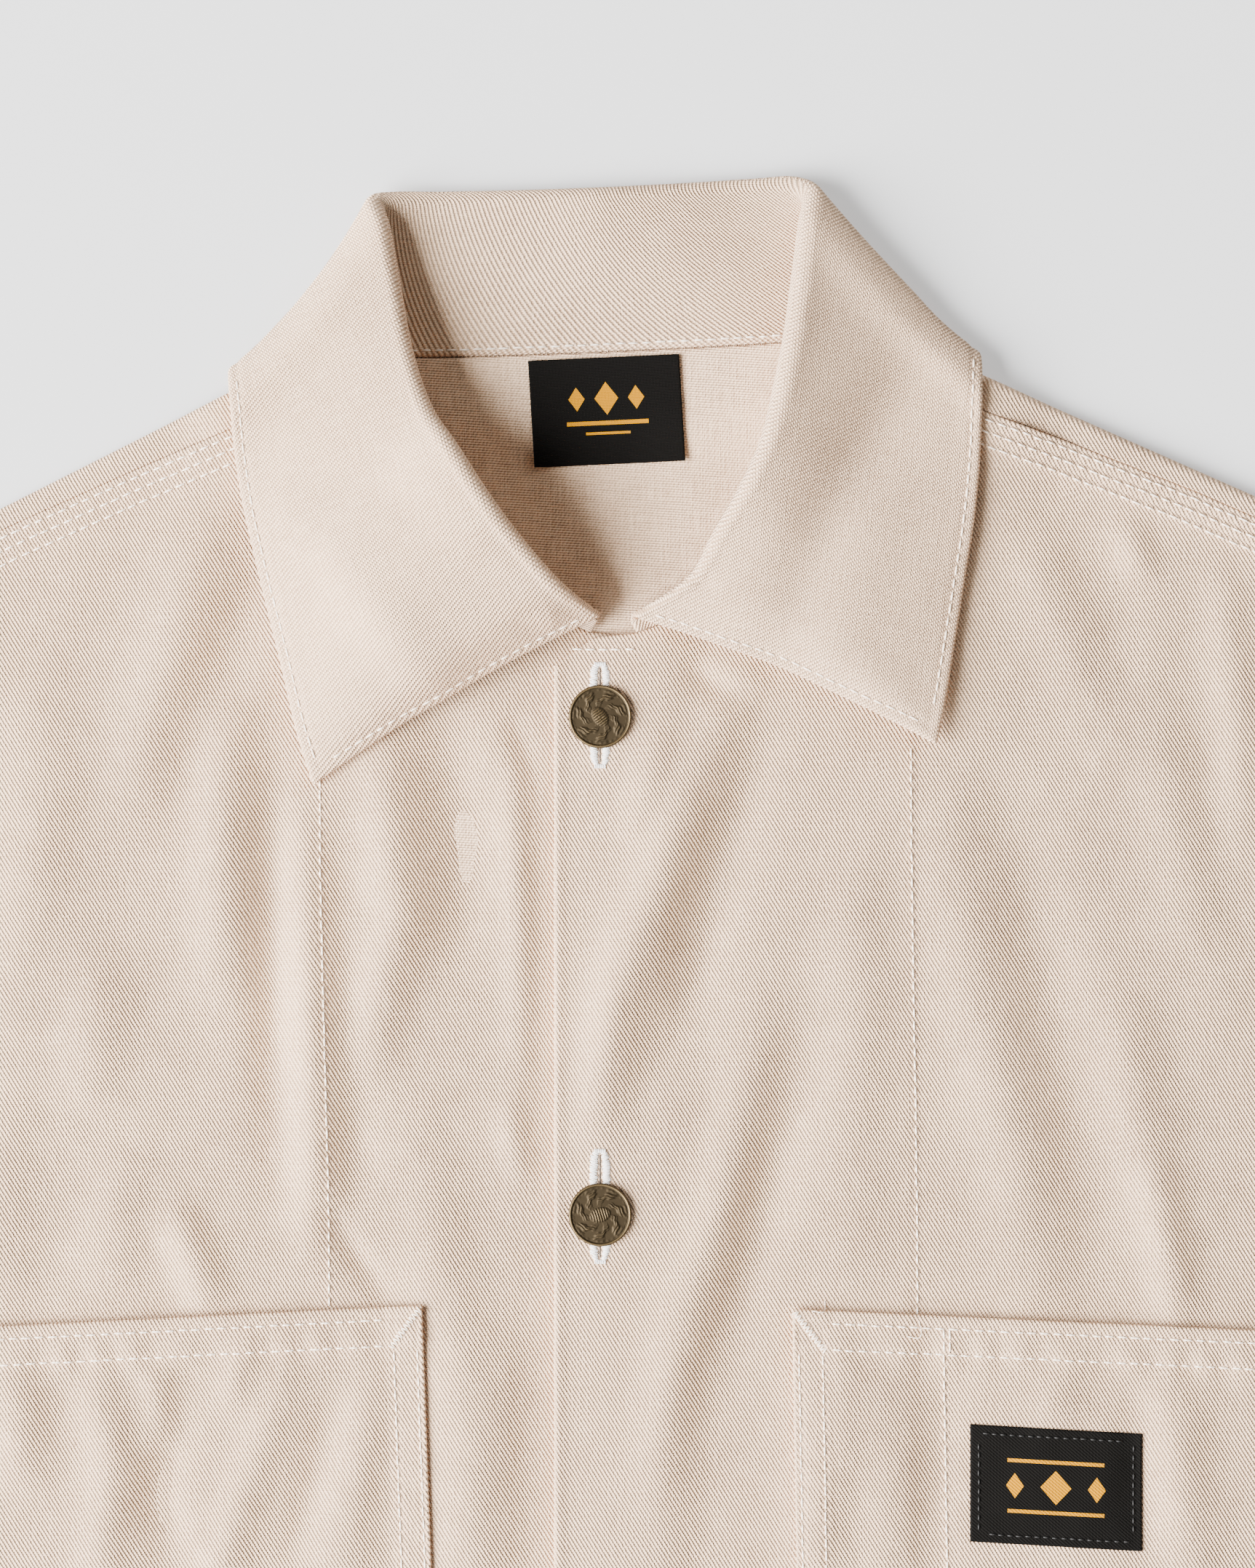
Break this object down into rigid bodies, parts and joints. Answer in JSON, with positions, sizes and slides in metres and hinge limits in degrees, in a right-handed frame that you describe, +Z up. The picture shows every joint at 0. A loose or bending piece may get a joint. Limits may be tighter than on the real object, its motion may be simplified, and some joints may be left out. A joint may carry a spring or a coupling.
{
  "type": "chore jacket",
  "caption": "Cotton twill work jacket laid flat and buttoned, with a turn-down collar, chest patch pockets and metal buttons.",
  "frame": {"origin": "middle of the garment's bounding box in plan, on the surface that it lies on", "axes": "+X towards the wearer's left, +Y from hem to collar, +Z up from the surface, out of the jacket's front"},
  "size_m": [1.5077, 0.789, 0.0341],
  "materials": {
    "cotton_twill": "undyed cotton twill with cream sewing thread, matte",
    "woven_label": "black woven satin",
    "button_metal": "antique brass, dark in the hollows and rubbed bright on the relief"
  },
  "bodies": {
    "root": {"back": "cotton_twill", "right_front": "cotton_twill", "left_front": "cotton_twill", "right_sleeve": "cotton_twill", "left_sleeve": "cotton_twill", "collar": "cotton_twill", "right_chest_pocket": "cotton_twill", "left_chest_pocket": "cotton_twill", "neck_label": "woven_label", "chest_label": "woven_label", "button_1": "button_metal", "button_2": "button_metal", "button_3": "button_metal", "button_4": "button_metal", "button_5": "button_metal"}
  },
  "joints": []
}
